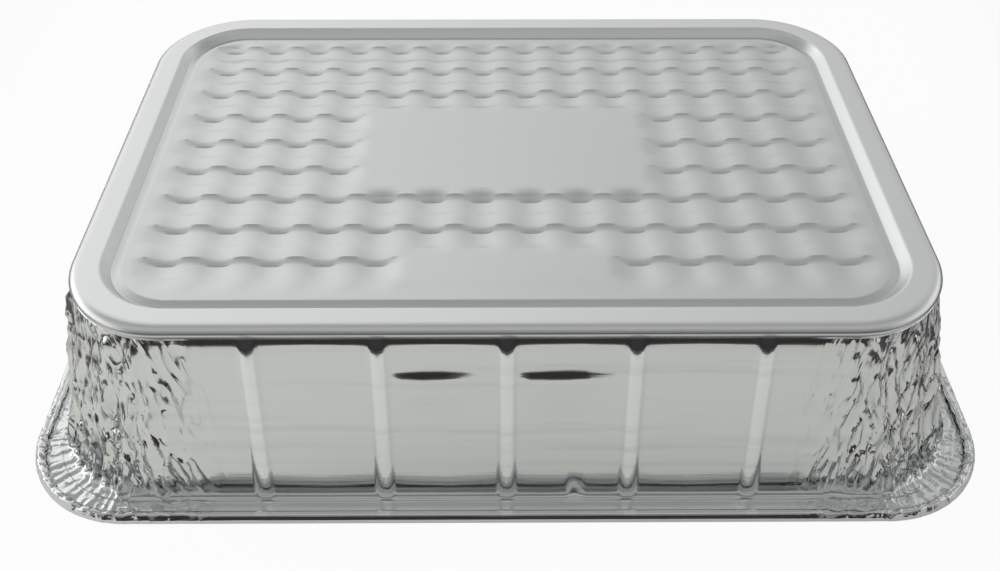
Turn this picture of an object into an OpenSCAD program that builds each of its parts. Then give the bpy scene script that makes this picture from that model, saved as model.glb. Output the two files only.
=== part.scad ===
// Foil roasting pan, pressed from one sheet, drawn bottom up on its rim.
// Origin: middle of the footprint, on the surface that the rim lies on. X runs along the length.

/* [Overall] */
// Height from the rim's bead to the base ring, mm
pan_h = 75; // [55:1:100]
// Thickness of the foil, mm
foil_t = 0.14; // [0.08:0.01:0.3]

/* [Rim] */
// Length over the curled rim, mm
rim_l = 365; // [345:1:400]
// Width over the curled rim, mm
rim_w = 268; // [248:1:300]
// Corner radius of the rim's outer edge, mm
rim_r = 43; // [36:1:50]
// Width of the flat flange between wall and bead, mm
flange_w = 7; // [4:0.5:10]
// Height of the flange above the bead's lowest line, mm
flange_z = 0.7; // [0.4:0.1:1.5]
// Diameter of the curled bead, mm
bead_d = 4.4; // [3:0.1:6]
// Radius of the bend from wall to flange, mm
foot_r = 3; // [1.5:0.5:5]

/* [Base] */
// Length of the base outline, mm
base_l = 317; // [305:1:325]
// Width of the base outline, mm
base_w = 221; // [209:1:229]
// Corner radius of the base outline, mm
base_r = 40; // [37:1:48]
// Radius of the rolled edge round the base, mm
edge_r = 4; // [2:0.5:5]
// Width of the flat ring that the pan stands on, mm
ring_w = 7.5; // [5:0.5:8.5]
// Width of the step from the ring down to the patterned panel, mm
step_w = 7; // [5:0.5:8]
// Drop of the patterned panel below the ring, mm
panel_drop = 2.4; // [1:0.1:3.5]
// Depth of the shallow groove at the foot of the step, below the panel, mm
groove_h = 0.5; // [0.2:0.1:1]

/* [Waffle pattern] */
// Distance from pit to pit, mm
pitch = 19.2; // [17:0.1:19.6]
// Depth of a pit below the raised squares, mm
waffle_h = 2.6; // [1:0.1:4]
// Side of a pit's floor and of a raised square, mm
waffle_flat = 6; // [3:0.5:9]
// How far the pattern sits behind the middle of the pan, mm
pattern_y = 2; // [-4:0.1:4]

/* [Walls] */
// Distance between the ribs, mm
rib_gap = 44.7; // [30:0.1:48]
// Width of a rib, mm
rib_w = 6; // [3:0.5:9]
// Height of a rib, mm
rib_h = 1.3; // [0.5:0.1:2.5]
// How far the wall is tucked in under the base edge, mm
tuck = 0.9; // [0.3:0.1:1.5]
// Depth of the hollow in each panel between ribs, mm
dish_h = 0.8; // [0:0.1:2]
// Depth of the corner pleats on the wall, mm
pleat_h = 1.3; // [0.3:0.1:2.5]
// Height of the gathers on the flange, mm
gather_h = 0.9; // [0.2:0.1:1.2]

/* [Hidden] */

cols = 14;              // pits along the length
rows = 9;               // pits across the width
label_cols = 6;         // bare columns in the middle of the panel
label_rows = 3;         // bare rows in the middle of the panel
notch_cols = 4;         // bare columns in the front row
ribs_long = 5;          // ribs on each long wall
ribs_short = 3;         // ribs on each short wall
pleats = 11;            // pleats at each corner
arc_n = 7;              // facets of a plain corner
curl_n = 6;             // facets of the curled bead
curl_turn = 290;        // degrees that the bead is rolled through
edge_n = 3;             // facets of the base edge
foil_col = [0.80, 0.81, 0.82];

panel_z = pan_h - panel_drop;
bead_r = bead_d / 2;
curl_step = curl_turn / curl_n;

// A station is one closed line round the pan: [half length, half width, corner radius, height].
function base_line(d, z) = [base_l / 2 - d, base_w / 2 - d, base_r - d, z];
function rim_line(d, z) = [rim_l / 2 - d, rim_w / 2 - d, rim_r - d, z];
function between(a, b, t) = a * (1 - t) + b * t;

step_d = edge_r + ring_w;
panel_d = step_d + step_w;
panel_line = base_line(panel_d, panel_z);
base_lines = concat(
    [panel_line,
     base_line(panel_d - step_w * 0.45, panel_z - groove_h),
     base_line(step_d + step_w * 0.2, panel_z - groove_h + 0.25 * panel_drop),
     base_line(step_d, pan_h)],
    [for (k = [0 : edge_n])
        base_line(edge_r * (1 - sin(90 * k / edge_n)), pan_h - edge_r * (1 - cos(90 * k / edge_n)))]);

wall_top = base_line(tuck, pan_h - edge_r - 1.6 * tuck);
foot_d = flange_w + bead_d + foot_r;
wall_foot = rim_line(foot_d, flange_z + foot_r);
wall_lines = [wall_top, between(wall_top, wall_foot, 0.08), between(wall_top, wall_foot, 0.92), wall_foot];
pleat_grow = [0.2, 0.35, 0.9, 1];   // share of the pleats' depth on each of the wall's lines
rib_grow = [0.2, 1, 1, 0.3];        // share of the ribs' height
dish_grow = [0.2, 1, 1, 0.2];       // share of the hollow between ribs

flange_lines = [
    rim_line(foot_d - foot_r * 0.3, flange_z + foot_r * 0.3),
    rim_line(foot_d - foot_r, flange_z),
    rim_line(bead_d, flange_z)];

// The bead leaves the flange below, turns outward, over the top and back in.
curl_r = bead_r - foil_t / cos(curl_step / 2);
bead_lines = [for (k = [0 : curl_n])
    rim_line(bead_r - curl_r * cos(k * curl_step - 90), bead_r + curl_r * sin(k * curl_step - 90))];

// Position round a line is counted 0 to 8: even to odd is a corner, odd to even a straight side.
function corner_pt(l, k, t, push) =
    let (a = 90 * (k + t), sx = (k == 0 || k == 3) ? 1 : -1, sy = (k < 2) ? 1 : -1)
    [sx * (l[0] - l[2]) + (l[2] + push) * cos(a), sy * (l[1] - l[2]) + (l[2] + push) * sin(a), l[3]];

// A point of straight side k, at a distance s from the side's middle, pushed out by p.
function side_pt(l, k, s, p) =
    k == 0 ? [-s, l[1] + p, l[3]] :
    k == 1 ? [-l[0] - p, -s, l[3]] :
    k == 2 ? [s, -l[1] - p, l[3]] :
             [l[0] + p, s, l[3]];

function side_half(l, k) = (k % 2 == 0) ? l[0] - l[2] : l[1] - l[2];

// Plain line: arc_n facets a corner and one vertex in the middle of each side.
plain_q = [for (k = [0 : 3], m = [0 : arc_n + 1]) m <= arc_n ? 2 * k + m / arc_n : 2 * k + 1.5];
function plain_pts(l) = [for (k = [0 : 3], m = [0 : arc_n + 1])
    m <= arc_n ? corner_pt(l, k, m / arc_n, 0) : side_pt(l, k, 0, 0)];

// Wrinkles differ from one to the next, as those of a drawn corner do.
function uneven(k, m) = 0.65 + 0.35 * sin(137 * m + 71 * k + 23 * m * k);
function zigzag(k, m) = (m == 0 || m == 2 * pleats) ? 0 : (m % 2 == 1 ? 1 : -0.6) * uneven(k, m);

// Pleated line: the corners carry the pleats, pushed out and lifted.
pleat_q = [for (k = [0 : 3], m = [0 : 2 * pleats + 1])
    m <= 2 * pleats ? 2 * k + m / (2 * pleats) : 2 * k + 1.5];
function pleat_pts(l, out, up) = [for (k = [0 : 3], m = [0 : 2 * pleats + 1])
    m <= 2 * pleats
        ? corner_pt(l, k, m / (2 * pleats), out * zigzag(k, m)) + [0, 0, up * abs(zigzag(k, m))]
        : side_pt(l, k, 0, 0)];

// Wall line: pleated corners, and on each side the ribs with a hollow panel between two of them.
function rib_count(k) = (k % 2 == 0) ? ribs_long : ribs_short;
rib_shape = [[-0.5, 0], [-0.22, 1], [0.22, 1], [0.5, 0]];
function side_marks(l, k, hollow, ridge) =
    let (n = rib_count(k), e = side_half(l, k))
    [for (j = [0 : n], m = [0 : 4])
        if (m == 0 || j < n)
            let (c = (j - (n - 1) / 2) * rib_gap,
                 a = j == 0 ? -e : c - rib_gap + rib_w / 2,
                 b = j == n ? e : c - rib_w / 2)
            m == 0 ? [(a + b) / 2, -hollow] : [c + rib_shape[m - 1][0] * rib_w, rib_shape[m - 1][1] * ridge]];
function wall_q() = [for (k = [0 : 3])
    let (n = 5 * rib_count(k) + 1)
    for (m = [0 : 2 * pleats + n])
        m <= 2 * pleats ? 2 * k + m / (2 * pleats) : 2 * k + 1 + (m - 2 * pleats) / (n + 1)];
function wall_pts(l, out, hollow, ridge) = [for (k = [0 : 3])
    let (marks = side_marks(l, k, hollow, ridge), n = len(marks))
    for (m = [0 : 2 * pleats + n])
        m <= 2 * pleats ? corner_pt(l, k, m / (2 * pleats), out * zigzag(k, m))
                        : side_pt(l, k, marks[m - 2 * pleats - 1][0], marks[m - 2 * pleats - 1][1])];

// Every line from the panel outward, with the kind of vertices it has.
lines = concat(base_lines, wall_lines, flange_lines, bead_lines);
n_base = len(base_lines);
n_wall = n_base + len(wall_lines);
n_flange = n_wall + len(flange_lines);
n_lines = len(lines);
function line_q(i) = (i >= n_base && i < n_wall) ? wall_q() : (i >= n_wall && i <= n_flange) ? pleat_q : plain_q;
function line_pts(i, l) =
    i < n_base ? plain_pts(l) :
    i < n_wall ? let (w = i - n_base) wall_pts(l, pleat_h * pleat_grow[w], dish_h * dish_grow[w], rib_h * rib_grow[w]) :
    i < n_flange ? pleat_pts(l, pleat_h * [0.7, 0.4, 0][i - n_wall], gather_h * [0.3, 0.8, 1][i - n_wall]) :
    i == n_flange ? pleat_pts(l, 0, 0) :
    plain_pts(l);

// The food side of the foil lies one thickness behind the outer side, mitred at each line.
function unit(v) = v / norm(v);
function facing(i) = let (d = unit([lines[i + 1][1] - lines[i][1], lines[i + 1][3] - lines[i][3]])) [-d[1], d[0]];
function mitre(i) =
    let (a = facing(max(i - 1, 0)), b = facing(min(i, n_lines - 2)),
         a2 = i == 0 ? [0, 1] : a)
    (a2 + b) / (1 + a2 * b);
function inner_line(i) = let (v = mitre(i) * foil_t) lines[i] - [v[0], v[0], v[0], v[1]];

all_q = [for (i = [0 : n_lines - 1]) line_q(i)];
line_len = [for (q = all_q) len(q)];
function run(v, i = 0, s = 0) = i >= len(v) ? [] : concat([s], run(v, i + 1, s + v[i]));
line_at = run(line_len);
n_side = line_at[n_lines - 1] + line_len[n_lines - 1];

// Joins two closed lines of vertices, stepping along whichever is behind.
function zip(a, qa, b, qb, i = 0, j = 0) =
    let (na = len(a), nb = len(b),
         next_a = i < na - 1 ? qa[i + 1] : qa[0] + 8, next_b = j < nb - 1 ? qb[j + 1] : qb[0] + 8)
    (i >= na && j >= nb) ? [] :
    (j >= nb || (i < na && next_a <= next_b))
        ? concat([[a[i % na], a[(i + 1) % na], b[j % nb]]], zip(a, qa, b, qb, i + 1, j))
        : concat([[a[i % na], b[(j + 1) % nb], b[j % nb]]], zip(a, qa, b, qb, i, j + 1));
function line_ids(i) = [for (m = [0 : line_len[i] - 1]) line_at[i] + m];

side_faces = [for (i = [0 : n_lines - 2])
    each zip(line_ids(i), all_q[i], line_ids(i + 1), all_q[i + 1])];

// Waffle: a square pattern of cells, each with a pit and a share of the raised squares at its corners.
wf = waffle_flat / 2;
wg = pitch / 2 - wf;
bare_i = (cols - label_cols) / 2;
bare_j = (rows - label_rows) / 2;
notch_i = (cols - notch_cols) / 2;
function has_pit(i, j) =
    i >= 0 && j >= 0 && i < cols && j < rows
    && !(i >= bare_i && i < cols - bare_i && j >= bare_j && j < rows - bare_j)
    && !(j == 0 && i >= notch_i && i < cols - notch_i);
function cell_x(i) = (i - (cols - 1) / 2) * pitch;
function cell_y(j) = (j - (rows - 1) / 2) * pitch + pattern_y;

// Each cell has eight vertices, from the south-west and anticlockwise: the corners of its floor,
// then those of the raised squares round it. Between two cells lies a saddle, half as deep.
turn = [[-1, -1], [1, -1], [1, 1], [-1, 1]];
cell_pts = [for (j = [0 : rows - 1], i = [0 : cols - 1], high = [false, true], c = turn)
    [cell_x(i) + c[0] * (high ? wg : wf), cell_y(j) + c[1] * (high ? wg : wf),
     panel_z - (!high && has_pit(i, j) ? waffle_h : 0)]];
function saddle_z(shared) = panel_z - (shared ? waffle_h / 2 : 0);
// On the pattern's own edge the saddle lies level with the raised squares.
function saddle_s(i, n) = i == 0 ? -wg : i == n ? wg - pitch : -pitch / 2;
saddle_pts = concat(
    [for (j = [0 : rows - 1], i = [0 : cols])
        [cell_x(i) + saddle_s(i, cols), cell_y(j), saddle_z(has_pit(i - 1, j) && has_pit(i, j))]],
    [for (j = [0 : rows], i = [0 : cols - 1])
        [cell_x(i), cell_y(j) + saddle_s(j, rows), saddle_z(has_pit(i, j - 1) && has_pit(i, j))]]);
waffle_pts = concat(cell_pts, saddle_pts);
n_waffle = len(waffle_pts);
function at(i, j, v) = 8 * (j * cols + i) + v;
function saddle_x(i, j) = 8 * cols * rows + j * (cols + 1) + i;
function saddle_y(i, j) = 8 * cols * rows + (cols + 1) * rows + j * cols + i;
function saddle(i, j, s) =
    s == 0 ? saddle_y(i, j) : s == 1 ? saddle_x(i + 1, j) : s == 2 ? saddle_y(i, j + 1) : saddle_x(i, j);

cells = [for (j = [0 : rows - 1], i = [0 : cols - 1]) [i, j]];
waffle_faces = concat(
    [for (c = cells) [for (v = [3 : -1 : 0]) at(c[0], c[1], v)]],
    [for (c = cells, s = [0 : 3])
        let (i = c[0], j = c[1], m = saddle(i, j, s), t = (s + 1) % 4)
        each [[m, at(i, j, s), at(i, j, t)],
              [m, at(i, j, s + 4), at(i, j, s)],
              [m, at(i, j, t), at(i, j, t + 4)]]],
    [for (c = cells)
        let (i = c[0], j = c[1], m = saddle(i, j, 1))
        if (i < cols - 1)
            each [[m, at(i + 1, j, 4), at(i, j, 5)], [m, at(i, j, 6), at(i + 1, j, 7)]]],
    [for (c = cells)
        let (i = c[0], j = c[1], m = saddle(i, j, 2))
        if (j < rows - 1)
            each [[m, at(i, j, 7), at(i, j + 1, 4)], [m, at(i, j + 1, 5), at(i, j, 6)]]],
    [for (c = cells)
        let (i = c[0], j = c[1])
        if (i < cols - 1 && j < rows - 1)
            [at(i, j + 1, 5), at(i + 1, j + 1, 4), at(i + 1, j, 7), at(i, j, 6)]]);

// The pattern's own edge, side by side from the north-east corner, with its place along the side.
function edge_cell(k, m) =
    k == 0 ? [cols - 1 - m, rows - 1, 2] :
    k == 1 ? [0, rows - 1 - m, 3] :
    k == 2 ? [m, 0, 0] :
             [cols - 1, m, 1];
edge_ids = [for (k = [0 : 3], m = [0 : (k % 2 == 0 ? cols : rows) - 1])
    let (c = edge_cell(k, m), s = c[2])
    each concat(m == 0 ? [] : [[at(c[0], c[1], s + 4), k]],
        [[saddle(c[0], c[1], s), k], [at(c[0], c[1], (s + 1) % 4 + 4), k]])];
function edge_q(v) =
    let (p = waffle_pts[v[0]], k = v[1],
         s = k == 0 ? -p[0] : k == 1 ? -p[1] : k == 2 ? p[0] : p[1],
         e = side_half(panel_line, k),
         far = (k % 2 == 0 ? cell_x(cols - 1) : cell_y(rows - 1) - pattern_y) + wg)
    abs(s) <= e ? 2 * k + 1.5 + 0.5 * s / e :
    2 * k + 1.5 + sign(s) * (0.5 + 0.5 * (abs(s) - e) / (far - e));
panel_faces = zip([for (v = edge_ids) v[0]], [for (v = edge_ids) edge_q(v)],
    [for (m = [0 : line_len[0] - 1]) n_waffle + m], all_q[0]);
function flip(v) = [for (m = [len(v) - 1 : -1 : 0]) v[m]];

skin_faces = concat(waffle_faces, panel_faces,
    [for (f = side_faces) [for (v = f) v + n_waffle]]);
outer_pts = concat(waffle_pts, [for (i = [0 : n_lines - 1]) each line_pts(i, lines[i])]);
inner_pts = concat([for (p = waffle_pts) p - [0, 0, foil_t]],
    [for (i = [0 : n_lines - 1]) each line_pts(i, inner_line(i))]);
n_skin = len(outer_pts);
last_at = n_waffle + line_at[n_lines - 1];
last_n = line_len[n_lines - 1];
hem_faces = [for (m = [0 : last_n - 1])
    let (a = last_at + m, b = last_at + (m + 1) % last_n)
    [a, b, b + n_skin, a + n_skin]];

module pressed_sheet() {
    polyhedron(
        points = concat(outer_pts, inner_pts),
        faces = concat(skin_faces, [for (f = skin_faces) [for (v = flip(f)) v + n_skin]], hem_faces),
        convexity = 10);
}

module pan() {
    color(foil_col) pressed_sheet();
}

pan();
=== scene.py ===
import bpy
import bmesh
import numpy as np
from math import radians
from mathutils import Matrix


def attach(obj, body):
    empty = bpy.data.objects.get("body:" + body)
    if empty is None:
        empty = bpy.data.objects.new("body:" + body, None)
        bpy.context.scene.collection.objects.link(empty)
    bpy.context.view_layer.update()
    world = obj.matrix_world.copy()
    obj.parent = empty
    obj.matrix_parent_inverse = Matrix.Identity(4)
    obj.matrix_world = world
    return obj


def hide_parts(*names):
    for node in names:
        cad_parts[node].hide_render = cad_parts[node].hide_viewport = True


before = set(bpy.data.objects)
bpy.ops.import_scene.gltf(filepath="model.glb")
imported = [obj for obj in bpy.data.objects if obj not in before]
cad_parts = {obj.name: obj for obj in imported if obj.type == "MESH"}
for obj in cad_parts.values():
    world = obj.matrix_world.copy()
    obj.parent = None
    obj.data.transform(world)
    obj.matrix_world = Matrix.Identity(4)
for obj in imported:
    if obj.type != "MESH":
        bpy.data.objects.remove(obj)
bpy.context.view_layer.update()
mm = 0.001

# Camera, at the photograph's angle
cameraSettings = {
    "place": (-4.2, -391.9, 340.5),     # mm
    "turn": (48.92, -0.06, -0.30),      # degrees
    "lens": 41.25, "sensor": 36,        # mm
    "clipStart": 0.01,                  # metres
}


def addCamera(s):
    camera = bpy.data.objects.new("camera", bpy.data.cameras.new("camera"))
    bpy.context.collection.objects.link(camera)
    camera.location = [v * mm for v in s["place"]]
    camera.rotation_euler = [radians(v) for v in s["turn"]]
    camera.data.sensor_fit = "HORIZONTAL"
    camera.data.sensor_width = s["sensor"]
    camera.data.lens = s["lens"]
    camera.data.clip_start = s["clipStart"]
    bpy.context.scene.camera = camera


addCamera(cameraSettings)
print("camera set")

# Pan: one pressed sheet, bottom up, all sizes in mm
pan = {
    "height": 75.0, "foil": 0.14,
    "rimHalf": (182.4, 133.9), "rimCorner": 43.0,
    "baseHalf": (158.5, 110.5), "baseCorner": 40.0,
    "edgeRadius": 4.4,                          # rolled edge round the base
    "edgeTurns": (14, 28, 42, 54, 65),          # its lines, in degrees from the top
    "ringInner": 11.5, "ringOuter": 0.4,        # flat ring: in from the outline, and in from the rolled edge
    "ringSag": 0.05,
    "panelInner": 18.6, "panelDrop": 2.4,       # sunken panel
    "seam": 0.5,                                # strip between the panel's grid and the skirt's first line
    "grooveInner": 3.5, "grooveDrop": 3.55,     # shallow groove at the foot of the step: in from the ring
    # the step's section: the place that each point is measured from, in from it and up from it
    "stepLine": (("panel", 0, 0), ("panel", -0.5, -0.12), ("groove", 0.3, 0.12), ("groove", -0.3, 0.05),
                 ("ring", 0.6, -0.42), ("ring", 0.1, -0.06), ("ring", -0.5, 0)),
    "tuck": 1.7, "tuckHeight": 3.9,             # wall drawn in under the edge
    "tuckEase": 0.4,                            # share of it that is missing in the corners
    "tuckLines": ((0.4, 2.8), (0.9, 3.15), (1.0, 3.5)),     # share of the tuck, and drop below the base
    "droop": 0.3, "droopFrom": 2.7,             # the undercut hangs lower beside the ribs
    "wallInset": 0.25,                          # from the base's outline to the top of the wall
    # heights of the wall's lines: from the foot of the tuck, from the ledge's edge, and from the floor
    "linesAtTuck": (2.9, 1.9, 0.9, 0, -2, -5),
    "linesAtLedge": (3.2, 1.6, 0.6, -0.5, -1.6, -3.2),
    "linesBelow": (49, 46, 43, 40, 37, 34, 31, 28, 25, 22, 19, 16, 13, 10, 7, 4.2),
    "dishDepth": 0.45, "dishFoot": (4, 14),     # panels between the ribs sink in, but not at their foot
    "footRadius": 0.9, "cornerFoot": 6.0,       # bend from wall to flange
    "footTurns": (12, 30, 50, 70),              # its lines, in degrees
    "flange": 7.0, "flangeZ": 0.75, "ridge": 0.5, "bead": 4.4,
    # the flange's lines: in from the bead, and up in shares of the ridge
    "flangeLine": ((6.4, 0), (5.8, 0.1), (5.1, 1), (4.4, 0.1), (2.4, 0), (0.7, 0), (-0.6, -0.35)),
    # the bead's section, from its underside out, over the top and back in: in from the edge, and up
    "beadLine": ((2.3, 0.17), (1.2, 0.22), (0.55, 0.45), (0.20, 0.8), (0.20, 1.8), (0.42, 2.3), (0.86, 3.1),
                 (1.24, 3.78), (1.62, 4.08), (2.2, 4.2), (2.8, 4.22), (3.5, 3.8), (4.05, 3.0), (4.1, 2.0),
                 (3.8, 1.2)),
}
waffle = {
    "columns": 14, "rows": 9, "pitch": 19.2,
    # fields without squares, which reach the margin in front: first and last column, first and last row
    "bare": ((4, 9, 3, 5), (5, 8, -1, 0)),
    "flat": 3.0,            # half the side of a pit's floor
    "crisp": 0.75,          # below 1 the slopes are steepest beside the flats
    "soften": 1.5,          # slopes to the left and right are spread by this much
    "depth": 2.3,           # pit below raised squares
    "rise": 0.22,           # raised squares above the margin
    "behind": 2.0,          # pattern's middle behind the pan's
    "creaseAngle": 9.0,     # where squares end in front and behind, sharper folds stay crisp
    "fade": 7.0,            # width over which the pattern dies away outside
    "fringe": 3,            # rings of faces from the pattern to the panel's edge
    # how far the mesh's lines stand from the edges of the flats: across, and from front to back
    "crown": 0.8, "shoulder": 1.4, "sill": 0.4, "slope": 0.9,
}
ribs = {
    "gap": 44.7, "count": (5, 3), "top": 1.7, "foot": 3.4, "height": 1.3,
    "notch": 2.2, "notchHalf": 4.4, "notchReach": 6,    # the edge dips where a rib meets it
    "footShare": 0.5, "flangeRise": 0.2,                # what is left of a rib at the bend and beyond it
    "dish": (0.08, 0.9),                                # panel's hollow, in shares of the way to its middle
}
# Marks pressed across the long walls: a curved ledge in the two middle panels, and fine lines in all
ledge = {
    "z": 55.3, "height": 1.1,
    "shift": 5.0, "half": 18.5, "wider": 2.5,           # both lie to the left, and the right one is wider
    "below": 2, "above": 1.8, "fade": (20, 3),          # reach of its edge, and where it dies away below
    "fineHeight": 0.12, "fineWidth": 1.2,
    "lowerZ": 43.0, "lowerWidth": 1.1,
}


def smooth(a, b, x):
    t = np.clip((x - a) / (b - a), 0, 1)
    return t * t * (3 - 2 * t)


def isBare(i, j):
    fields = [(i >= a) & (i <= b) & (j >= c) & (j <= d) for a, b, c, d in waffle["bare"]]
    return fields[0] | fields[1]


def patternHalf():      # from the pattern's middle to its outermost lines
    w = waffle
    return [(n - 1) / 2 * w["pitch"] + w["pitch"] / 2 - w["flat"] for n in (w["columns"], w["rows"])]


def relief(x, y):       # height of the pattern above the panel's margin
    reach = waffle["soften"]
    return (pattern(x - reach, y) + 2 * pattern(x, y) + pattern(x + reach, y)) / 4


def pattern(x, y):
    p, w = waffle["pitch"], waffle["flat"]
    y = y - waffle["behind"]
    u, v = x / p + (waffle["columns"] - 1) / 2, y / p + (waffle["rows"] - 1) / 2
    i, j = np.round(u).astype(int), np.round(v).astype(int)
    lx, ly = (u - i) * p, (v - j) * p
    pit = np.maximum(np.maximum(abs(lx), abs(ly)) - w, 0)
    ax, ay = p / 2 - abs(lx), p / 2 - abs(ly)
    high = np.maximum(np.maximum(ax, ay) - w, 0)
    near, far = pit ** waffle["crisp"], high ** waffle["crisp"]
    share = far / np.maximum(near + far, 1e-6)
    sideX, sideY = np.sign(lx).astype(int), np.sign(ly).astype(int)
    towardX, towardY = (np.clip((p / 2 - a) / (p / 2 - w), 0, 1) for a in (abs(lx), abs(ly)))
    share = np.where(isBare(i + sideX, j), np.minimum(share, towardX), share)
    share = np.where(isBare(i, j + sideY), np.minimum(share, towardY), share)
    depth = waffle["depth"] * share
    halfX, halfY = patternHalf()
    outside = np.maximum(np.maximum(abs(x) - halfX, abs(y) - halfY), 0)
    fade = 1 - smooth(0, waffle["fade"], outside)
    return (waffle["rise"] - np.where(isBare(i, j), 0, depth)) * fade


def patternLines(count):
    p, w = waffle["pitch"], waffle["flat"]
    half = p / 2
    if count == waffle["columns"]:
        crown, shoulder, sill = waffle["crown"], waffle["shoulder"], waffle["sill"]
        marks = (-half + w - crown, -half + w + shoulder, -w + sill, 0,
                 w - sill, half - w - shoulder, half - w + crown, half)
    else:
        slope = waffle["slope"]
        marks = (-half + w, -half / 2, -w, 0, w, w + slope, half - w - slope, half - w, half)
    lines = [(n - (count - 1) / 2) * p + m for n in range(count) for m in marks]
    return np.array(lines[:-1])


def panelEdge(x, y, inset):     # where a point of the pattern's edge goes on the panel's rounded line
    halfX, halfY = patternHalf()
    hx, hy = (v - inset for v in pan["baseHalf"])
    r = pan["baseCorner"] - inset
    ex, ey = hx - r, hy - r
    endY = np.where(y > 0, halfY + waffle["behind"], halfY - waffle["behind"])
    onEnd = abs(x) > halfX - 1e-6
    turnX = np.clip((abs(x) - ex) / (halfX - ex), 0, 1) * np.pi / 4
    turnY = np.pi / 2 - np.clip((abs(y) - ey) / (endY - ey), 0, 1) * np.pi / 4
    turn = np.where(onEnd, turnY, turnX)
    cx, cy = np.minimum(abs(x), ex), np.minimum(abs(y), ey)
    px = np.where(onEnd & (abs(y) < ey), hx, np.where(~onEnd & (abs(x) < ex), cx, ex + r * np.sin(turn)))
    py = np.where(onEnd & (abs(y) < ey), cy, np.where(~onEnd & (abs(x) < ex), hy, ey + r * np.cos(turn)))
    return px * np.sign(x), py * np.sign(y)


def deselectAll():
    bpy.ops.object.select_all(action="DESELECT")


def readPoints(mesh):
    co = np.zeros(len(mesh.vertices) * 3)
    mesh.vertices.foreach_get("co", co)
    return co.reshape(-1, 3)


def markFolds(panel):       # crisp folds where the pattern's squares end in front and behind
    pitch, flat = waffle["pitch"], waffle["flat"]
    form = bmesh.new()
    form.from_mesh(panel.data)
    for edge in form.edges:
        a, b = (v.co / mm for v in edge.verts)
        place = ((a.y + b.y) / 2 - waffle["behind"] + pitch / 2) % pitch
        front = min(abs(place - pitch / 2 - flat), abs(place - pitch + flat)) < 0.05
        if front and abs(a.x - b.x) > 3 * abs(a.y - b.y) and len(edge.link_faces) == 2:
            edge.smooth = edge.calc_face_angle() < radians(waffle["creaseAngle"])
    form.to_mesh(panel.data)
    form.free()


def makePanel():        # a grid, widened by rings of faces and then set to the pattern's lines
    xs, ys = patternLines(waffle["columns"]), patternLines(waffle["rows"]) + waffle["behind"]
    deselectAll()
    bpy.ops.mesh.primitive_grid_add(x_subdivisions=len(xs) - 1, y_subdivisions=len(ys) - 1, size=2)
    panel = bpy.context.object
    bpy.ops.object.mode_set(mode="EDIT")
    bpy.ops.mesh.select_mode(type="EDGE")
    bpy.ops.mesh.select_all(action="DESELECT")
    bpy.ops.mesh.select_non_manifold()
    for n in range(waffle["fringe"]):
        bpy.ops.mesh.extrude_region_move(TRANSFORM_OT_translate={"value": (0, 0, 1)})
    bpy.ops.object.mode_set(mode="OBJECT")
    co = readPoints(panel.data)
    a = np.round((co[:, 0] + 1) / 2 * (len(xs) - 1)).astype(int)
    b = np.round((co[:, 1] + 1) / 2 * (len(ys) - 1)).astype(int)
    out = np.round(co[:, 2]) / waffle["fringe"]
    x, y = xs[a], ys[b]
    edgeX, edgeY = panelEdge(x, y, pan["panelInner"] + pan["seam"])
    x, y = x + (edgeX - x) * out, y + (edgeY - y) * out
    z = pan["height"] - pan["panelDrop"] + relief(x, y) * (1 - smooth(0, 1, out))
    panel.data.vertices.foreach_set("co", (np.c_[x, y, z] * mm).ravel())
    markFolds(panel)
    return panel, np.where(out == 1)[0]


panelObject, panelRim = makePanel()
print("panel", len(panelObject.data.vertices), "vertices")

# Columns of the skirt: each stands in a corner or on a side, at a place along it.
spacing = {
    "corner": 60,
    "atRib": (-4.4, -3.2, -1.9, 0, 1.9, 3.2, 4.4), "pastRibs": 6,
    "between": 5, "betweenReach": 0.32,         # share of the gap, each way from the panel's middle
    "beside": 13, "wallHalf": (130.0, 81.0),    # from the last rib to the corner
    "atDent": (-3.9, -2.0, 0, 2.0),
}
dent = {"side": 2, "place": 25.3, "z": 4.4, "depth": 2.0, "wide": 2.5, "tall": 2.4}


def sideMarks(half, count):
    gap, reach = ribs["gap"], spacing["betweenReach"]
    last = gap * (count - 1) / 2 + spacing["pastRibs"]
    marks = []
    for n in range(count):
        c = (n - (count - 1) / 2) * gap
        marks += [c + m for m in spacing["atRib"]]
        if n < count - 1:
            marks += list(c + gap / 2 + np.linspace(-reach, reach, spacing["between"]) * gap)
    if count == ribs["count"][0]:
        marks += [dent["place"] + m for m in spacing["atDent"]]
    for n in range(1, spacing["beside"] + 1):
        far = last + (half - last) * (n - 0.5) / spacing["beside"]
        marks += [-far, far]
    return np.array(sorted(marks)), last


def makeColumns():
    kind, place = [], []
    marks, last = zip(*(sideMarks(h, n) for h, n in zip(spacing["wallHalf"], ribs["count"])))
    for k in range(4):                      # corner k, then the side that follows it
        for n in range(spacing["corner"] + 1):
            kind.append(k)
            place.append(n / spacing["corner"])
        for s in marks[k % 2]:
            kind.append(4 + k)
            place.append(s)
    return np.array(kind), np.array(place), last


kind, place, lastMark = makeColumns()
columnCount = len(kind)
corner = kind < 4
angle = np.radians(np.where(corner, 90 * (kind % 4 + place), 90 * (kind % 4 + 1.0)))
outX, outY = np.cos(angle), np.sin(angle)
signX = np.where((kind % 4 == 0) | (kind % 4 == 3), 1, -1)
signY = np.where(kind % 4 < 2, 1, -1)


def alongSide(h, r, n):     # where a side's column stands on a line whose straight half is h - r
    last, wide = lastMark[n], spacing["wallHalf"][n]
    reach = last + (np.abs(place) - last) * (h - r - last) / (wide - last)
    return np.where(np.abs(place) > last, np.sign(place) * reach, place)


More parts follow.
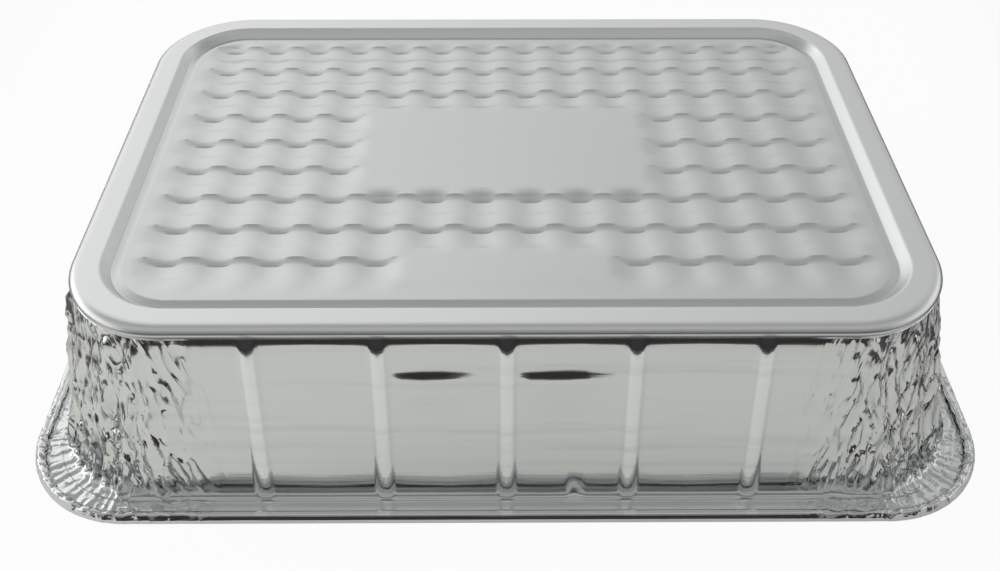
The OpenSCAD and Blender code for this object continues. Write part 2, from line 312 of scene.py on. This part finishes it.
def linePoints(hx, hy, r, z, push=0.0):
    hx, hy, r = hx + 0 * place, hy + 0 * place, r + 0 * place
    cx = signX * (hx - r) + (r + push) * outX
    cy = signY * (hy - r) + (r + push) * outY
    alongX, alongY = alongSide(hx, r, 0), alongSide(hy, r, 1)
    sides = [corner] + [kind == 4 + k for k in range(4)]
    x = np.select(sides, [cx, -alongX, -hx - push, alongX, hx + push])
    y = np.select(sides, [cy, hy + push, -alongY, -hy - push, alongY])
    return np.c_[x, y, z + 0 * place]


# Distance round a corner's wall from the middle of its arc, and which corner a column belongs to.
arcHalf = 33.0
beyond, arcPlace, cornerOf = np.zeros(columnCount), (place - 0.5) * 2 * arcHalf, kind.copy()
wrinkleFade = 14, 29        # beyond the arc, where the wrinkles die away
softReach = 20              # in from the arc's ends, where the corner's own shape is full
# Each column's share of a rib's notch and of the rib, of a panel's hollow and of the ledge.
ribNotch, ribShape, dish, onLedge = (np.zeros(columnCount) for n in range(4))
for k in range(4):
    m = kind == 4 + k
    s, count = place[m], ribs["count"][k % 2]
    beyond[m] = spacing["wallHalf"][k % 2] - np.abs(s)
    arcPlace[m] = np.where(s > 0, -arcHalf - beyond[m], arcHalf + beyond[m])
    cornerOf[m] = np.where(s > 0, (k + 1) % 4, k)
    nearest = np.clip(np.round(s / ribs["gap"] + (count - 1) / 2), 0, count - 1)
    off = np.abs(s - (nearest - (count - 1) / 2) * ribs["gap"])
    ribShape[m] = 1 - smooth(ribs["top"], ribs["foot"], off)
    ribNotch[m] = np.clip(1 - off / ribs["notchHalf"], 0, 1)
    inside = np.abs(s) < ribs["gap"] * (count - 1) / 2
    dish[m] = np.where(inside, smooth(*ribs["dish"], off / (ribs["gap"] / 2)), 0)
    middle = (np.abs(s) < ribs["gap"]) & (k % 2 == 0)
    hollow = s - np.sign(s) * ribs["gap"] / 2 + ledge["shift"]
    hollow = hollow / (ledge["half"] + ledge["wider"] * np.sign(s))
    onLedge[m] = np.where(middle, np.clip(1 - hollow ** 2, 0, 1) * smooth(0, 0.3, dish[m]), 0)
inCorner = np.where(corner, 1.0, 1 - smooth(*wrinkleFade, beyond))
softCorner = np.where(corner, smooth(0, softReach, arcHalf - np.abs(arcPlace)), 0.0)

# Wrinkles of the drawn corners, each with its own place, lean and reach, mm
wrinkles = {
    "seed": 7,
    "flutes": 15, "fluteHeight": 1.3, "fluteSpan": 32,
    "creases": 72, "creaseHeight": 1.5,
    "lean": 0.34, "leanMore": 0.75,             # more on the front wall, beside its right corner
    "fadeIn": (-0.1, 0.1), "fadeOut": (0.75, 1.1),      # share of a crease's length
    "dimples": 44, "dimpleDepth": 0.75, "dimpleZ": (14, 64),
    "pleatHeight": 1.0, "pleatWidth": (2.6, 5.6), "besideWidth": 4.0,       # narrower beyond the arc
    "pleatSpan": 64.0, "pleatArc": 30, "pleatReach": (12, 50),
    "pleatPush": 0.75, "pleatBend": 0.8, "pleatLift": 0.95,     # at the wall, the bend and the flange
    "beadCrush": 0.04, "cornerCrush": 0.10, "crushShake": 0.40,
}
chance = np.random.default_rng(wrinkles["seed"])


def makeCreases():      # long soft flutes on the arc and sharper, leaning creases beside it
    found = []
    span = wrinkles["fluteSpan"]
    for k in range(4):
        for n in range(wrinkles["flutes"]):
            s = -span + 2 * span * (n + chance.uniform(0.2, 0.8)) / wrinkles["flutes"]
            found.append({
                "corner": k, "s": s, "lean": chance.normal(0, 0.10), "bow": chance.normal(0, 1.4),
                "low": chance.uniform(-8, 2), "top": chance.uniform(66, 90),
                "width": chance.uniform(1.6, 2.6), "sharp": False,
                "height": wrinkles["fluteHeight"] * chance.uniform(0.6, 1.2) * (1 if n % 2 else -1),
            })
        for n in range(wrinkles["creases"]):
            side = -1 if n % 2 else 1
            steep = wrinkles["leanMore"] if (k == 3 and side < 0) else wrinkles["lean"]
            far = chance.uniform(8, 58)
            foot = chance.uniform(-4, 12) if chance.random() < 0.6 else chance.uniform(12, 42)
            length = chance.uniform(12, 50) * (1 if far < 42 else 0.6)
            found.append({
                "corner": k, "s": side * far, "lean": -side * steep * chance.uniform(0.1, 1.0),
                "bow": chance.normal(0, 0.9), "low": foot, "top": foot + length,
                "width": chance.uniform(0.7, 1.5), "sharp": True,
                "height": wrinkles["creaseHeight"] * chance.uniform(0.45, 1.1) * chance.choice([-1, 1]),
            })
    return found


def makeDimples():      # small knocks where the creases break
    found = []
    low, high = wrinkles["dimpleZ"]
    for k in range(4):
        for n in range(wrinkles["dimples"]):
            side = -1 if n % 2 else 1
            z = chance.uniform(low, high)
            s = side * (chance.uniform(12, 34) + (high - z) * chance.uniform(0.0, 0.5))
            found.append({
                "corner": k, "s": s, "z": z,
                "wide": chance.uniform(1.1, 2.2), "tall": chance.uniform(1.6, 3.4),
                "depth": wrinkles["dimpleDepth"] * chance.uniform(0.6, 1.5) * chance.choice([-1, 1]),
            })
    return found


def makePleats():       # gathers at the foot of each corner, from one sharp valley to the next
    height, reach = np.zeros(columnCount), np.ones(columnCount)
    low, high = wrinkles["pleatWidth"]
    for k in range(4):
        bounds = [-wrinkles["pleatSpan"]]
        while bounds[-1] < wrinkles["pleatSpan"]:
            most = high if abs(bounds[-1]) < wrinkles["pleatArc"] else wrinkles["besideWidth"]
            bounds.append(bounds[-1] + chance.uniform(low, most))
        bounds = np.array(bounds)
        size = chance.uniform(0.35, 1.0, len(bounds)) * wrinkles["pleatHeight"]
        up = chance.uniform(*wrinkles["pleatReach"], len(bounds))
        m = cornerOf == k
        n = np.clip(np.searchsorted(bounds, arcPlace[m]), 1, len(bounds) - 1)
        t = (arcPlace[m] - bounds[n - 1]) / (bounds[n] - bounds[n - 1])
        height[m] = size[n] * np.clip(np.sin(np.pi * np.clip(t, 0, 1)), 0, 1) ** 0.7
        reach[m] = up[n]
    return height * inCorner, reach


creases = makeCreases()
dimples = makeDimples()
pleats, pleatReach = makePleats()


def creasePush(c, z):   # a flute swells slowly along its length, and a sharp crease has kinks
    t = (z - c["low"]) / (c["top"] - c["low"])
    s = c["s"] + c["lean"] * (z - c["low"]) + c["bow"] * np.sin(3.1 * t)
    d = np.abs(arcPlace - s) / c["width"]
    ends = smooth(*wrinkles["fadeIn"], t) * (1 - smooth(*wrinkles["fadeOut"], t))
    if c["sharp"]:
        shape, swell = np.clip(1 - d / 1.6, 0, 1), 0.55 + 0.45 * np.sin(z * 0.62 + c["s"] * 1.7)
    else:
        shape, swell = np.exp(-d * d), 0.85 + 0.3 * np.sin(z * 0.21)
    return np.where(cornerOf == c["corner"], c["height"] * shape * ends * swell, 0)


def wrinkle(z):         # push of the wall at height z
    total = np.zeros(columnCount)
    for c in creases:
        if c["low"] - 5 < z < c["top"] + 5:
            total += creasePush(c, z)
    for c in dimples:
        away = ((arcPlace - c["s"]) / c["wide"]) ** 2 + ((z - c["z"]) / c["tall"]) ** 2
        total += np.where(cornerOf == c["corner"], c["depth"] * np.exp(-away), 0)
    folds = pleats * (1 - smooth(0, 1, z / pleatReach)) * wrinkles["pleatPush"]
    return (total + folds) * inCorner


def dentPush(z):
    away = ((place - dent["place"]) / dent["wide"]) ** 2 + ((z - dent["z"]) / dent["tall"]) ** 2
    return np.where(kind == 4 + dent["side"], -dent["depth"] * np.exp(-away), 0)


def tuckDepth():
    return pan["tuck"] * (1 - pan["tuckEase"] * softCorner)


def footBend():         # radius of the bend at the wall's foot, and how far in from the rim it starts
    depth = pan["footRadius"] + (pan["cornerFoot"] - pan["footRadius"]) * softCorner
    return depth, pan["flange"] + pan["bead"] + depth


def baseLines():        # step, ring, rolled edge and the tuck under it
    h, r, ring = pan["height"], pan["edgeRadius"], pan["ringInner"]
    (bx, by), br = pan["baseHalf"], pan["baseCorner"]
    origin = {"panel": (pan["panelInner"], h - pan["panelDrop"]),
              "groove": (ring + pan["grooveInner"], h - pan["grooveDrop"]), "ring": (ring, h)}
    section = [(origin[name][0] + d, origin[name][1] + z) for name, d, z in pan["stepLine"]]
    section += [((ring + r) / 2, h - pan["ringSag"]), (r + pan["ringOuter"], h)]
    for a in pan["edgeTurns"]:
        section.append((r - r * np.sin(radians(a)), h - r + r * np.cos(radians(a))))
    lines = [linePoints(bx - d, by - d, br - d, z) for d, z in section]
    tuck, lowest = tuckDepth(), pan["tuckLines"][-1][1]
    for share, drop in pan["tuckLines"]:
        droop = pan["droop"] * (1 - dish) * (1 - softCorner) * smooth(pan["droopFrom"], lowest, drop)
        lines.append(linePoints(bx - share * tuck, by - share * tuck, br - share * tuck, h - drop - droop))
    return lines


def ledgePush(z):
    mark = ledge["z"]
    below = 1 - smooth(mark - ledge["below"], mark + ledge["above"], z)
    below = below * smooth(mark - ledge["fade"][0], mark - ledge["fade"][1], z)
    fine = ledge["fineHeight"] * dish * np.exp(-((z - mark) / ledge["fineWidth"]) ** 2)
    return ledge["height"] * onLedge * below + fine


def wallLines():
    footDepth, footD = footBend()
    footZ = pan["flangeZ"] + footDepth
    top = [v - pan["wallInset"] for v in pan["baseHalf"] + (pan["baseCorner"],)]
    foot = [v - footD for v in pan["rimHalf"] + (pan["rimCorner"],)]
    topZ, rise = pan["height"] - pan["tuckLines"][-1][1] - pan["tuckHeight"], pan["tuckHeight"]
    heights = [topZ + v for v in pan["linesAtTuck"]] + [ledge["z"] + v for v in pan["linesAtLedge"]]
    lines = []
    for z in heights + list(pan["linesBelow"]):
        share = np.clip((topZ - z) / (topZ - footZ), 0, 1)
        hx, hy, rad = (a + (b - a) * share for a, b in zip(top, foot))
        if z > topZ:
            inward = (z - topZ) / rise * tuckDepth()
            hx, hy, rad = hx - inward, hy - inward, rad - inward
        low = 1 - smooth(topZ - 2.5, topZ + 1, z)       # hollows and wrinkles stop at the tuck
        intoTuck = np.clip((topZ + rise - z) / rise, 0, 1)
        push = ribs["height"] * ribShape * intoTuck
        push = push - pan["dishDepth"] * dish * low * smooth(*pan["dishFoot"], z)
        line = np.exp(-((z - ledge["lowerZ"]) / ledge["lowerWidth"]) ** 2) * ledge["fineHeight"] * dish
        push = push + ledgePush(z) + line + wrinkle(z) * low + dentPush(z)
        notch = ribs["notch"] * ribNotch * smooth(topZ - ribs["notchReach"], topZ, z) * intoTuck
        height = z - notch
        if z < 16:      # the lowest lines draw together above a corner's larger bend
            height = np.maximum(height, footZ + (z - 4.0) * 0.3)
        lines.append(linePoints(hx, hy, rad, height, push))
    return lines


def rimLines():         # bend, flange with its ridge, and the curled bead
    (rx, ry), rr = pan["rimHalf"], pan["rimCorner"]
    flangeZ, bead = pan["flangeZ"], pan["bead"]
    footDepth, footD = footBend()
    lines = []

    def add(d, z, push=0.0):
        lines.append(linePoints(rx - d, ry - d, rr - d, z, push))

    for a in pan["footTurns"]:
        s, c = np.sin(radians(a)), np.cos(radians(a))
        hold = 1 - a / 110      # the wall's wrinkles fade round the bend
        push = wrinkle(4.0) * hold + ribs["height"] * ribs["footShare"] * ribShape * c + dentPush(6.0) * hold
        lift = wrinkles["pleatBend"] * pleats * a / 90
        add(footD - footDepth * (1 - c), flangeZ + footDepth * (1 - s) + lift, push)
    for d, up in pan["flangeLine"]:
        lift = wrinkles["pleatLift"] * (pleats * smooth(-1, 1.5, d))
        add(bead + d, flangeZ + up * pan["ridge"] + lift + ribs["flangeRise"] * ribShape * (d > 1))
    # an uneven shake along the rim, which crushes the bead toward its own middle
    shake = (np.sin(arcPlace * 2.3 + 1.0) * np.sin(arcPlace * 0.83 + cornerOf)
             + 0.6 * np.sin(arcPlace * 3.7 + 2.0 * cornerOf))
    for n, (d, z) in enumerate(pan["beadLine"]):
        wobble = np.clip(shake * np.cos(0.5 * n + arcPlace * 0.7), -0.3, 1)
        crush = wrinkles["beadCrush"] + (wrinkles["cornerCrush"] + wrinkles["crushShake"] * wobble) * inCorner
        crush = smooth(2, 8, n) * crush
        add(d + (bead / 2 - d) * crush, z + (bead / 2 - z) * crush)
    return lines


def makeSkirt():        # a ring of columns, extruded line by line and then set to the pan's lines
    lines = baseLines() + wallLines() + rimLines()
    deselectAll()
    bpy.ops.mesh.primitive_circle_add(vertices=columnCount, radius=1, fill_type="NOTHING")
    skirt = bpy.context.object
    bpy.ops.object.mode_set(mode="EDIT")
    bpy.ops.mesh.select_all(action="SELECT")
    for n in range(len(lines) - 1):
        bpy.ops.mesh.extrude_region_move(TRANSFORM_OT_translate={"value": (0, 0, 1)})
    bpy.ops.object.mode_set(mode="OBJECT")
    co = readPoints(skirt.data)
    level = np.round(co[:, 2]).astype(int)
    column = np.round(np.arctan2(co[:, 1], co[:, 0]) / (2 * np.pi) * columnCount).astype(int) % columnCount
    skirt.data.vertices.foreach_set("co", (np.stack(lines)[level, column] * mm).ravel())
    print("skirt", columnCount, "columns,", len(lines), "lines")
    return skirt, np.where(level == 0)[0]


skirtObject, skirtRim = makeSkirt()


def zipRims(sheet, inner, outer):       # triangles between two open rims, stepping along whichever is behind
    form = bmesh.new()
    form.from_mesh(sheet.data)
    form.verts.ensure_lookup_table()
    halfX, halfY = pan["baseHalf"]

    def ordered(rim):
        points = [form.verts[n] for n in rim]
        turns = [np.arctan2(v.co.y / halfY, v.co.x / halfX) for v in points]
        order = np.argsort(turns)
        return [points[n] for n in order] + [points[order[0]]], sorted(turns) + [min(turns) + 2 * np.pi]

    (a, turnA), (b, turnB) = ordered(inner), ordered(outer)
    i = j = 0
    while i < len(inner) or j < len(outer):
        if j == len(outer) or (i < len(inner) and turnA[i + 1] <= turnB[j + 1]):
            form.faces.new((a[i], b[j], a[i + 1]))
            i += 1
        else:
            form.faces.new((a[i], b[j], b[j + 1]))
            j += 1
    form.to_mesh(sheet.data)
    form.free()


def joinSheet(panel, skirt):            # one sheet, given the foil's thickness on the food side
    panelPoints = readPoints(panel.data)
    deselectAll()
    panel.select_set(True)
    skirt.select_set(True)
    bpy.context.view_layer.objects.active = panel
    bpy.ops.object.join()
    sheet = bpy.context.object
    zipRims(sheet, panelRim, len(panelPoints) + skirtRim)
    bpy.ops.object.mode_set(mode="EDIT")
    bpy.ops.mesh.select_mode(type="VERT")
    bpy.ops.mesh.select_all(action="SELECT")
    bpy.ops.mesh.normals_make_consistent(inside=False)
    bpy.ops.object.mode_set(mode="OBJECT")
    centre = min(sheet.data.polygons, key=lambda f: f.center.x ** 2 + f.center.y ** 2)
    if centre.normal.z < 0:
        sheet.data.flip_normals()
    sheet.name = sheet.data.name = "foilPan"
    wall = sheet.modifiers.new("thickness", "SOLIDIFY")
    wall.thickness = pan["foil"] * mm
    wall.offset = -1
    wall.use_even_offset = False
    bpy.ops.object.modifier_apply(modifier=wall.name)
    bpy.ops.object.shade_smooth(keep_sharp_edges=True)
    flats = sheet.modifiers.new("flats", "WEIGHTED_NORMAL")     # keeps the flats flat beside their bends
    flats.weight = 60
    flats.keep_sharp = True
    bpy.ops.object.modifier_apply(modifier=flats.name)
    return sheet


foilPan = joinSheet(panelObject, skirtObject)
triangles = sum(len(f.vertices) - 2 for f in foilPan.data.polygons)
print("pan sheet", triangles, "triangles")
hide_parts("pan")
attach(foilPan, "root")


class Wire:     # a node's output, so that maths on it reads as maths
    def __init__(self, look, socket):
        self.look, self.socket = look, socket

    def maths(self, operation, first, second=0.0):
        node = self.look.add("Math", {"operation": operation}, {0: first, 1: second})
        return self.look.wire(node)

    def __add__(self, other):
        return self.maths("ADD", self, other)

    def __radd__(self, other):
        return self.maths("ADD", other, self)

    def __sub__(self, other):
        return self.maths("SUBTRACT", self, other)

    def __rsub__(self, other):
        return self.maths("SUBTRACT", other, self)

    def __mul__(self, other):
        return self.maths("MULTIPLY", self, other)

    def __rmul__(self, other):
        return self.maths("MULTIPLY", other, self)

    def __abs__(self):
        return self.maths("ABSOLUTE", self)


class Look:     # a node tree that is being filled
    def __init__(self, tree):
        self.tree = tree
        tree.nodes.clear()

    def add(self, kind, settings=None, inputs=None):
        node = self.tree.nodes.new("ShaderNode" + kind)
        for name, value in (settings or {}).items():
            setattr(node, name, value)
        for name, value in (inputs or {}).items():
            self.plug(value, node.inputs[name])
        return node

    def plug(self, value, socket):
        if isinstance(value, Wire):
            self.tree.links.new(value.socket, socket)
        else:
            socket.default_value = value

    def wire(self, node, output=0):
        return Wire(self, node.outputs[output])

    def axes(self, vector):
        node = self.add("SeparateXYZ", inputs={0: vector})
        return [self.wire(node, n) for n in range(3)]

    def step(self, value, a, b):        # smooth step from a to b
        node = self.add("MapRange", {"interpolation_type": "SMOOTHSTEP"},
                        {0: value, 1: a, 2: b, 3: 0.0, 4: 1.0})
        return self.wire(node)

    def mix(self, share, first, second):        # of two colours
        node = self.add("Mix", {"data_type": "RGBA"}, {"Factor": share, 6: first, 7: second})
        return self.wire(node, 2)

    def stretch(self, vector, scale):
        return self.wire(self.add("Mapping", inputs={"Vector": vector, "Scale": scale}))

    def noise(self, vector, scale, detail):
        return self.wire(self.add("TexNoise", inputs={"Vector": vector, "Scale": scale, "Detail": detail}))


# Foil: rolled aluminium, satin on the flats, brighter on the drawn walls. Lengths are in metres, and a
# mask is two places, from where it is 0 to where it is 1.
foilLook = {
    "colour": (0.80, 0.81, 0.81, 1),
    "flatRoughness": 0.32, "wallRoughness": 0.12, "wallMask": (0.0703, 0.0696),
    "patchiness": 0.10, "patchScale": 14.0,
    "rolling": 0.012, "rollingScale": (30, 900, 900),       # fine lines of the mill roll
    "bump": 0.0050, "bumpStrength": 0.5,
    "panelColour": (0.70, 0.715, 0.715, 1),                 # the pressed panel is a little duller
    "panelX": (0.145, 0.1405), "panelY": (0.097, 0.0925), "panelZ": (0.0745, 0.0732),
    # wrinkles in the corners, fainter at the foot
    "cornerX": (0.100, 0.126), "cornerY": (0.050, 0.078), "cornerFoot": (0.002, 0.010), "footShare": 0.25,
    "lean": 0.13, "skew": 0.2,              # they gather toward the foot, and differ from corner to corner
    "length": 0.10,                         # below 1 they are long
    "crumple": 0.40, "crumpleScale": 210.0, "crumpleDetail": 1.5, "crumpleWarp": 0.25,
    "facets": 0.13, "facetScale": 230.0, "facetStretch": (1.0, 1.0, 0.5),
    "creaseShadeAndStreaks": (0.48, 0.49, 0.50, 1), "creaseShadeMask": (1.10, 1.45),        # painted shade along the sharpest wrinkles; the same dark colour also marks the rolled streaks
    # rolled streaks along the walls, and how strongly they darken the foil
    "streak": 0.24, "streakMask": (0.45, 0.75), "streakScale": (7, 7, 210),
    # the ribs' tops are coloured brighter
    "ribColour": (0.94, 0.95, 0.95, 1), "ribMask": (0.0027, 0.0018), "ribFoot": (0.002, 0.005),
    "longWall": {"along": (0.096, 0.093), "out": (0.100, 0.108)},
    "shortWall": {"along": (0.052, 0.048), "out": (0.145, 0.155)},
}


def wrinkleNoise(look, s, place):       # long ridges and short facets
    x, y, z = look.axes(place)
    drawn = [abs(v) + v * s["skew"] - z * s["lean"] for v in (x, y)]
    tall = look.wire(look.add("CombineXYZ", inputs={0: drawn[0], 1: drawn[1], 2: z * s["length"]}))
    crumple = look.add("TexNoise", {"noise_type": "RIDGED_MULTIFRACTAL"},
                       {"Vector": tall, "Scale": s["crumpleScale"], "Detail": s["crumpleDetail"],
                        "Offset": 1.0, "Gain": 1.0, "Distortion": s["crumpleWarp"]})
    short = look.stretch(place, s["facetStretch"])
    facets = look.add("TexVoronoi", {"feature": "F1"}, {"Vector": short, "Scale": s["facetScale"]})
    return look.wire(crumple), look.wire(facets)


def ribMask(look, s, wall, along, out):     # the ribs' tops on one pair of walls
    middle = look.wire(look.add("Math", {"operation": "PINGPONG"}, {0: abs(along), 1: ribs["gap"] / 2 * mm}))
    mask = look.step(middle, *s["ribMask"]) * look.step(abs(along), *wall["along"])
    return mask * look.step(abs(out), *wall["out"])


def foilMaterial(s):
    material = bpy.data.materials.new("foil")
    material.use_nodes = True
    look = Look(material.node_tree)
    place = look.wire(look.add("TexCoord"), "Object")
    x, y, z = look.axes(place)
    wall = look.step(z, *s["wallMask"])
    patches = look.noise(place, s["patchScale"], 2.0) - 0.5
    rough = s["flatRoughness"] + wall * (s["wallRoughness"] - s["flatRoughness"]) + patches * s["patchiness"]

    rolling = look.noise(look.stretch(place, s["rollingScale"]), 1.0, 3.0)
    corners = look.step(abs(x), *s["cornerX"]) * look.step(abs(y), *s["cornerY"]) * wall
    corners = corners * (s["footShare"] + (1 - s["footShare"]) * look.step(z, *s["cornerFoot"]))
    crumple, facets = wrinkleNoise(look, s, place)
    height = rolling * s["rolling"] + (crumple * s["crumple"] + facets * s["facets"]) * corners
    bump = look.wire(look.add("Bump", inputs={"Strength": s["bumpStrength"], "Distance": s["bump"],
                                              "Height": height}))

    onPanel = look.step(abs(x), *s["panelX"]) * look.step(abs(y), *s["panelY"]) * look.step(z, *s["panelZ"])
    onRib = ribMask(look, s, s["longWall"], x, y) + ribMask(look, s, s["shortWall"], y, x)
    onRib = onRib * wall * look.step(z, *s["ribFoot"])
    streaks = look.step(look.noise(look.stretch(place, s["streakScale"]), 1.0, 3.0), *s["streakMask"])
    # painted shade in the corners' creases, plus the rolled streaks on the walls
    creaseShadeAndStreaks = look.step(crumple, *s["creaseShadeMask"]) * corners + streaks * s["streak"] * wall
    colour = look.mix(onPanel * (1 - wall), s["colour"], s["panelColour"])
    colour = look.mix(creaseShadeAndStreaks, look.mix(onRib, colour, s["ribColour"]), s["creaseShadeAndStreaks"])
    shader = look.add("BsdfPrincipled", inputs={"Base Color": colour, "Metallic": 1.0, "Roughness": rough,
                                                "Normal": bump})
    look.add("OutputMaterial", inputs={"Surface": look.wire(shader)})
    return material


foilPan.data.materials.clear()
foilPan.data.materials.append(foilMaterial(foilLook))
print("foil dressed")

# Studio: pale floor and a soft surround
studio = {
    "white": (1, 1, 1, 1),
    "floorSize": 6.0,
    "floorNear": (0.63, 0.64, 0.58, 1), "floorPaintedShade": (0.10, 0.10, 0.10, 1),
    "paintedShadeX": (0.23, 0.34), "paintedShadeY": (0.28, 0.46),       # where the floor's colour darkens into painted shade of a dark room: to the sides and in front
    "cameraWhite": 0.95, "mirrorWhite": 0.26,   # how much of the floor's white each kind of ray sees
    # brightness of the surround from the viewer's horizon (0) over the top to the far horizon (180)
    "arch": ((0, 0.03), (15, 0.03), (21, 0.24), (44, 0.24), (54, 0.50), (76, 0.50), (86, 0.36), (108, 0.36)),
    "farAngle": 130, "farLeft": 1.00, "farRight": 0.56,     # beyond that angle, at the left and at the right
    "left": 0.80, "right": 0.45,                # added low at each side
    "sideX": (0.60, 0.92), "sideZ": (0.62, 0.40),       # where that light starts and where it is full
    "lampPower": 5.0, "lampSize": 0.5, "lampPlace": (-0.85, 0.10, 0.60),
}


def addFloor(s):
    deselectAll()
    bpy.ops.mesh.primitive_plane_add(size=s["floorSize"])
    floor = bpy.context.object
    floor.name = "floor"
    material = bpy.data.materials.new("floor")
    material.use_nodes = True
    look = Look(material.node_tree)
    path = look.add("LightPath")
    camera, glossy, clear = (look.wire(path, name) for name in
                             ("Is Camera Ray", "Is Glossy Ray", "Is Transmission Ray"))
    x, y = look.axes(look.wire(look.add("TexCoord"), "Object"))[:2]
    # the floor's colour darkens away from the pan: painted shade, seen mostly in the foil's mirror
    away = look.wire(look.add("Math", {"operation": "MAXIMUM"}, {0: look.step(abs(x), *s["paintedShadeX"]),
                                                                1: look.step(y * -1.0, *s["paintedShadeY"])}))
    white = camera * s["cameraWhite"] + (glossy + clear) * s["mirrorWhite"] * (1.0 - away)
    colour = look.mix(away, s["floorNear"], s["floorPaintedShade"])
    plain = look.wire(look.add("BsdfDiffuse", inputs={"Color": colour}))
    bright = look.wire(look.add("Emission", inputs={"Color": s["white"], "Strength": 1.0}))
    mix = look.wire(look.add("MixShader", inputs={0: white, 1: plain, 2: bright}))
    look.add("OutputMaterial", inputs={"Surface": mix})
    floor.data.materials.append(material)


def addWorld(s):
    world = bpy.data.worlds.new("studio")
    bpy.context.scene.world = world
    world.use_nodes = True
    look = Look(world.node_tree)
    x, y, z = look.axes(look.wire(look.add("TexCoord"), "Generated"))
    over = look.wire(look.add("Math", {"operation": "ARCTAN2"}, {0: z, 1: y * -1.0}))
    arch = s["arch"]
    light = arch[0][1]
    for (a, before), (b, after) in zip(arch, arch[1:]):
        if after != before:
            light = light + look.step(over, radians(a), radians(b)) * (after - before)
    near, edge = s["sideX"]
    far = s["farLeft"] + look.step(x, -near, near) * (s["farRight"] - s["farLeft"])
    lastAngle, lastLight = arch[-1]
    light = light + look.step(over, radians(lastAngle), radians(s["farAngle"])) * (far - lastLight)
    low = look.step(z, *s["sideZ"])
    for side, more in ((-1, s["left"]), (1, s["right"])):
        light = light + look.step(x, side * near, side * edge) * low * more
    camera = look.wire(look.add("LightPath"), "Is Camera Ray")
    surround, plain = (look.wire(look.add("Background", inputs={"Color": s["white"], "Strength": strength}))
                       for strength in (light, 1.0))
    mix = look.wire(look.add("MixShader", inputs={0: camera, 1: surround, 2: plain}))
    look.add("OutputWorld", inputs={"Surface": mix})


def addLamp(s):         # lights the floor from above, unseen by the mirror of the foil
    data = bpy.data.lights.new("overhead", "AREA")
    data.size, data.energy = s["lampSize"], s["lampPower"]
    lamp = bpy.data.objects.new("overhead", data)
    bpy.context.collection.objects.link(lamp)
    lamp.location = s["lampPlace"]
    lamp.rotation_euler = lamp.location.to_track_quat("Z", "Y").to_euler()
    lamp.visible_glossy = False
    lamp.visible_camera = False


addFloor(studio)
addWorld(studio)
addLamp(studio)
bpy.context.scene.view_settings.view_transform = "Standard"
print("studio lit")
